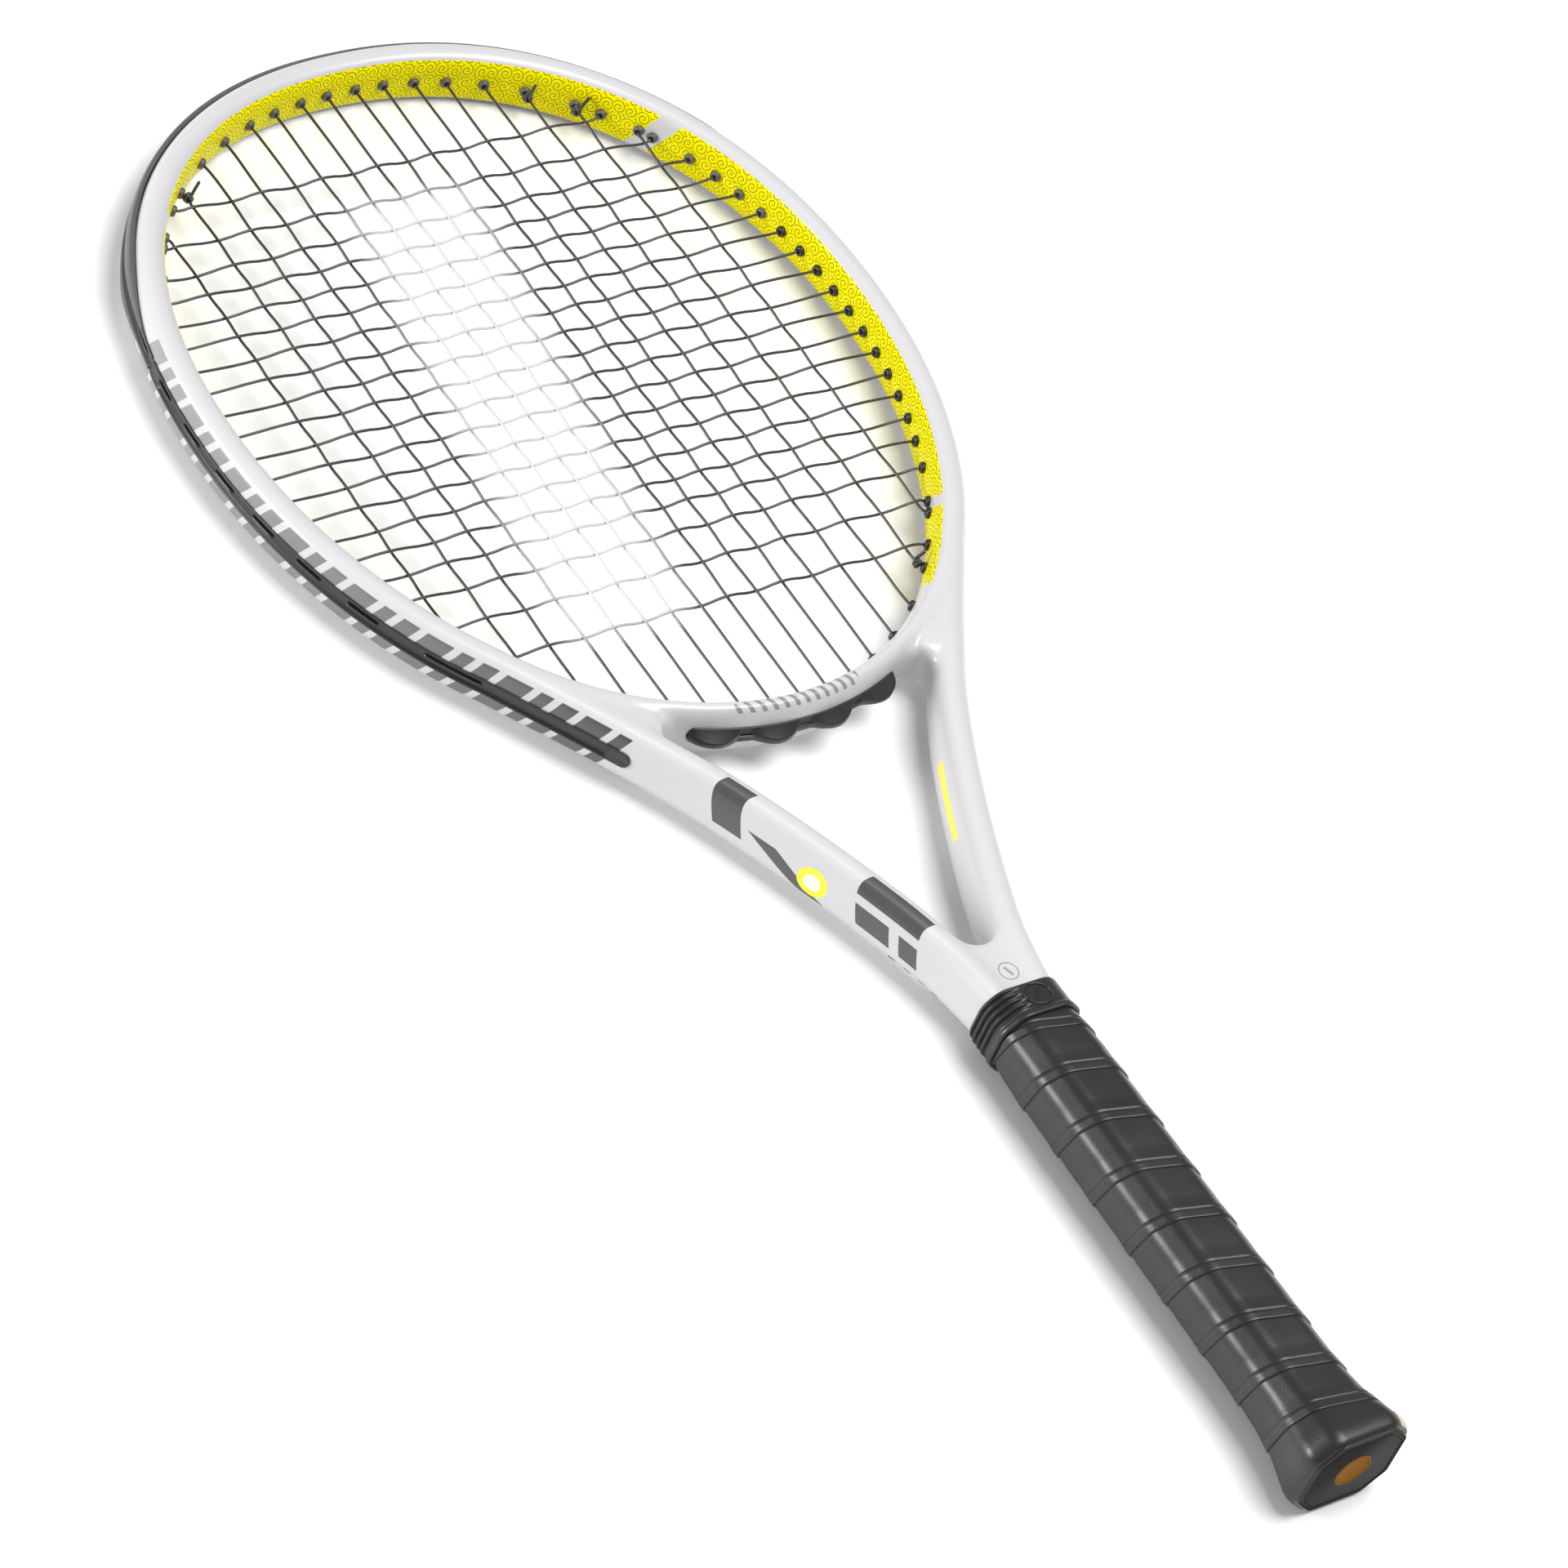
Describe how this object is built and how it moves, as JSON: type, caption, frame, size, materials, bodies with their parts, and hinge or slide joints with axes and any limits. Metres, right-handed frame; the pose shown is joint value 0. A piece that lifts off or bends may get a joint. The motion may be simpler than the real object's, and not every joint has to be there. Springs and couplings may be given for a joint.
{
  "type": "tennis racket",
  "caption": "Strung tennis racket with an oval head, open V throat, bumper guard and a spiral-wrapped octagonal handle.",
  "frame": {"origin": "centre of the bottom face of the bounding box: half way along the racket, on its centre line, at the level of the butt's lower flat", "axes": "+Y from the butt to the tip of the head, +X across the head, +Z square to the string bed, up as the racket lies"},
  "size_m": [0.2971, 0.686, 0.0386],
  "materials": {
    "frame": "white gloss paint over carbon-fibre composite",
    "guard": "dark grey satin nylon",
    "grommet": "black satin nylon",
    "string": "black monofilament, slight gloss",
    "foam": "rigid polyurethane foam, unpainted",
    "butt": "black satin moulding",
    "badge": "orange printed disc",
    "grip": "charcoal synthetic leather, satin, perforated wrap",
    "backing": "tan backing of the tape, matt",
    "tape": "black vinyl tape",
    "collar": "black rubber, satin",
    "steel": "plain steel wire"
  },
  "bodies": {
    "root": {"frame": "frame", "bumper_guard": "guard", "side_grommet_strip_left": "grommet", "side_grommet_strip_right": "grommet", "throat_grommet_strip": "grommet", "main_string": "string", "cross_string": "string", "tie_knot_top_inner": "string", "tie_knot_top_outer": "string", "tie_knot_bottom_right": "string", "tie_knot_top_left": "string", "handle_pallet": "foam", "butt_cap": "butt", "butt_plate": "butt", "butt_badge": "badge", "grip_tape": "grip", "grip_start_tab": "backing", "finishing_tape": "tape", "rubber_collar": "collar", "cap_staple_upper": "steel", "cap_staple_lower": "steel"}
  },
  "joints": []
}
